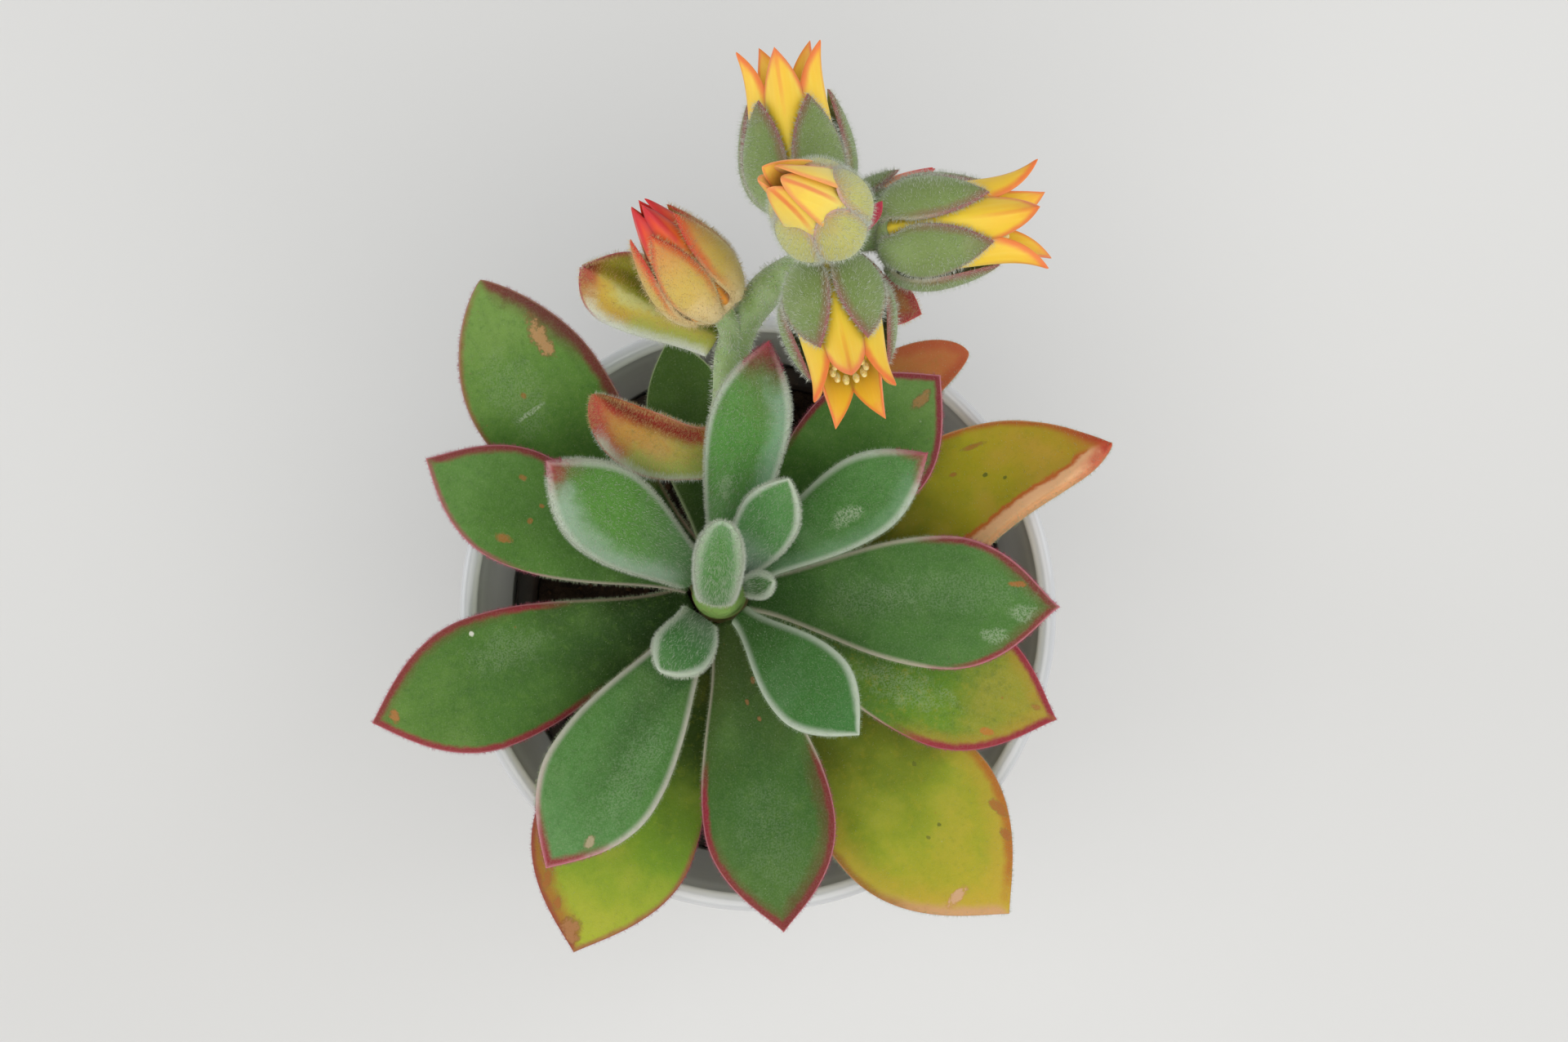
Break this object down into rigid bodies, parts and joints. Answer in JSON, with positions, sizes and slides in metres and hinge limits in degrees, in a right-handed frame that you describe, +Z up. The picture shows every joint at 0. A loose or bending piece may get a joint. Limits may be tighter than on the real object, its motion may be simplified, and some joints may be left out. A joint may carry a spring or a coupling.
{
  "type": "potted echeveria",
  "caption": "Velvety-leaved echeveria in flower, a loose rosette on a short stem, in a nursery pot inside a white glazed pot.",
  "frame": {"origin": "centre of the white pot's flat underside", "axes": "+Z up along the pot's axis; +Y towards the side that the flower stalk leans to, +X to its right seen from above"},
  "size_m": [0.0955, 0.1149, 0.1495],
  "materials": {
    "glaze": "white glazed stoneware, smooth and glossy",
    "dark_plastic": "thin dark moulded plastic, matt",
    "soil": "dark crumbly potting soil",
    "stem": "fleshy stem with a thin brown bark",
    "stalk": "green, covered in short pale hairs",
    "leaf": "thick green leaf, velvety, with a pale and red margin",
    "old_leaf": "older leaf turned yellow green, with an orange margin",
    "bract": "small hairy leaf of the stalk, yellow green to red",
    "sepal": "hairy green sepal with a pink red edge",
    "petal": "waxy yellow petal with an orange red keel and tip",
    "pollen": "pale yellow stamens and pistil"
  },
  "bodies": {
    "root": {"pot": "glaze", "nursery_pot": "dark_plastic", "soil": "soil", "stem": "stem", "flower_stalk": "stalk", "leaf_01": "old_leaf", "leaf_02": "old_leaf", "leaf_03": "old_leaf", "leaf_04": "old_leaf", "leaf_05": "leaf", "leaf_06": "leaf", "leaf_07": "leaf", "leaf_08": "leaf", "leaf_09": "leaf", "leaf_10": "leaf", "leaf_11": "leaf", "leaf_12": "leaf", "leaf_13": "leaf", "leaf_14": "leaf", "leaf_15": "leaf", "leaf_16": "leaf", "leaf_17": "leaf", "leaf_18": "leaf", "leaf_19": "leaf", "leaf_20": "leaf", "leaf_21": "leaf", "bract_brown": "bract", "bract_boat": "bract", "bract_red": "bract", "bract_pink_upper": "bract", "bract_pink_lower": "bract", "bloom_top_calyx": "sepal", "bloom_top_corolla": "petal", "bloom_top_stamens": "pollen", "bloom_middle_calyx": "sepal", "bloom_middle_corolla": "petal", "bloom_middle_stamens": "pollen", "bloom_right_calyx": "sepal", "bloom_right_corolla": "petal", "bloom_right_stamens": "pollen", "bloom_lower_calyx": "sepal", "bloom_lower_corolla": "petal", "bloom_lower_stamens": "pollen", "bud_left_calyx": "sepal", "bud_left_corolla": "petal", "bud_hidden_calyx": "sepal", "bud_hidden_corolla": "petal"}
  },
  "joints": []
}
